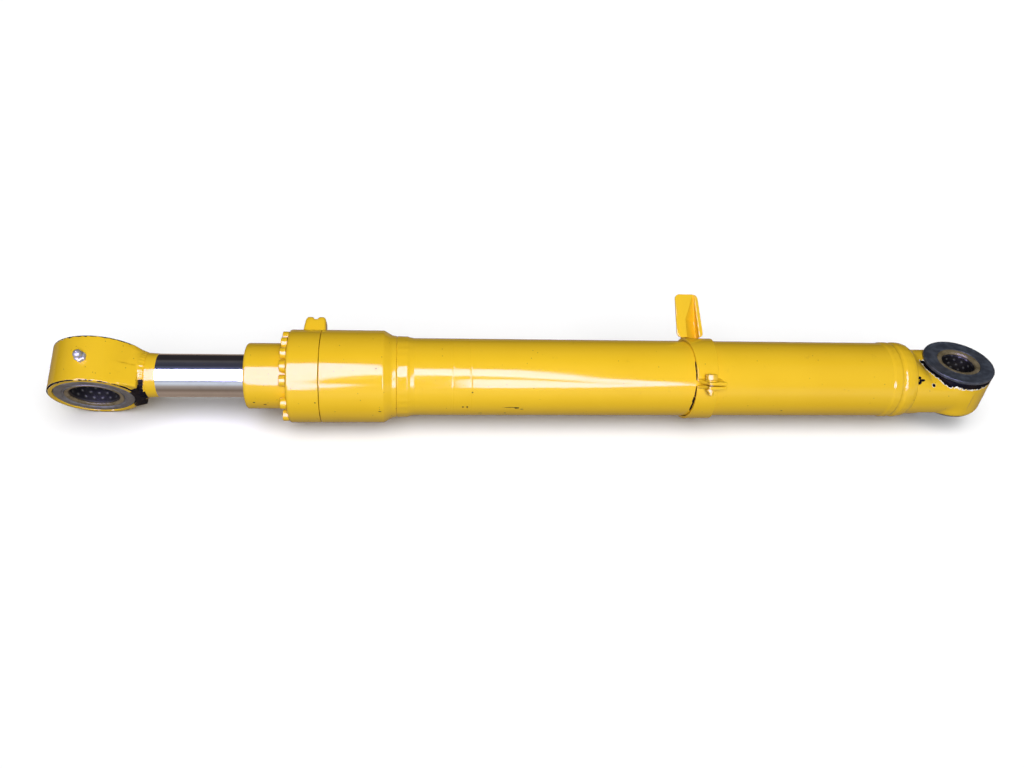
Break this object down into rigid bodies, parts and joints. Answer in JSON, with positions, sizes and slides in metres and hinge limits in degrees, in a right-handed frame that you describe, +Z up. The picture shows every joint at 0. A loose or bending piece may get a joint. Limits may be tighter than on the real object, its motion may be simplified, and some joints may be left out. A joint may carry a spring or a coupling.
{
  "type": "hydraulic cylinder",
  "caption": "Double-acting hydraulic cylinder with pin eyes, a chromed rod, a bolted head and a clamped pipe bracket.",
  "frame": {"origin": "middle of the part's footprint, at the height of its lowest point", "axes": "+X along the cylinder from the rod eye to the base eye, +Y to the back, +Z up along the base eye's pin axis"},
  "size_m": [2.0382, 0.2612, 0.2426],
  "materials": {
    "yellow_paint": "gloss enamel over steel, chipped at the eyes",
    "hard_chrome": "ground and polished hard chrome",
    "machined_steel": "turned steel",
    "dark_steel": "oiled black steel",
    "dimpled_steel": "hardened steel with grease dimples",
    "slate_seal": "satin polymer",
    "zinc_plate": "bright zinc plate",
    "bearing_bronze": "turned bronze",
    "black_rubber": "matt",
    "seal_polymer": "satin polyurethane"
  },
  "bodies": {
    "barrel": {"barrel_tube": "yellow_paint", "tube_collar": "yellow_paint", "cylinder_head": "yellow_paint", "head_bolt_01": "yellow_paint", "head_bolt_02": "yellow_paint", "head_bolt_03": "yellow_paint", "head_bolt_04": "yellow_paint", "head_bolt_05": "yellow_paint", "head_bolt_06": "yellow_paint", "head_bolt_07": "yellow_paint", "head_bolt_08": "yellow_paint", "head_bolt_09": "yellow_paint", "head_bolt_10": "yellow_paint", "head_bolt_11": "yellow_paint", "head_bolt_12": "yellow_paint", "head_bolt_13": "yellow_paint", "head_o_ring": "black_rubber", "rod_bushing": "bearing_bronze", "buffer_seal": "seal_polymer", "rod_seal": "seal_polymer", "dust_wiper": "black_rubber", "wiper_retaining_ring": "dark_steel", "base_eye": "yellow_paint", "base_port_boss": "yellow_paint", "base_bush": "dimpled_steel", "base_dust_seal_a": "slate_seal", "base_dust_seal_b": "slate_seal", "base_grease_nipple": "zinc_plate", "clamp_band": "yellow_paint", "clamp_bolt": "yellow_paint", "clamp_washer": "yellow_paint", "clamp_nut": "yellow_paint", "pipe_bracket": "yellow_paint"},
    "piston_rings": {"piston_seal": "seal_polymer", "wear_ring_front": "bearing_bronze", "wear_ring_rear": "bearing_bronze"},
    "rod": {"piston_rod": "hard_chrome", "rod_eye": "yellow_paint", "rod_bush": "dimpled_steel", "rod_dust_seal_a": "slate_seal", "rod_dust_seal_b": "slate_seal", "rod_grease_nipple": "zinc_plate", "piston": "machined_steel", "piston_nut": "dark_steel", "piston_lock_screw": "dark_steel"}
  },
  "joints": [
    {"name": "rod_slide", "type": "slide", "parent": "barrel", "child": "piston_rings", "axis": [-1, 0, 0], "range_m": [-0.145, 0.89]},
    {"name": "rod_spin", "type": "hinge", "parent": "piston_rings", "child": "rod", "pos_m": [0, -0.01779, 0.10116], "axis": [1, 0, 0], "continuous": true}
  ]
}
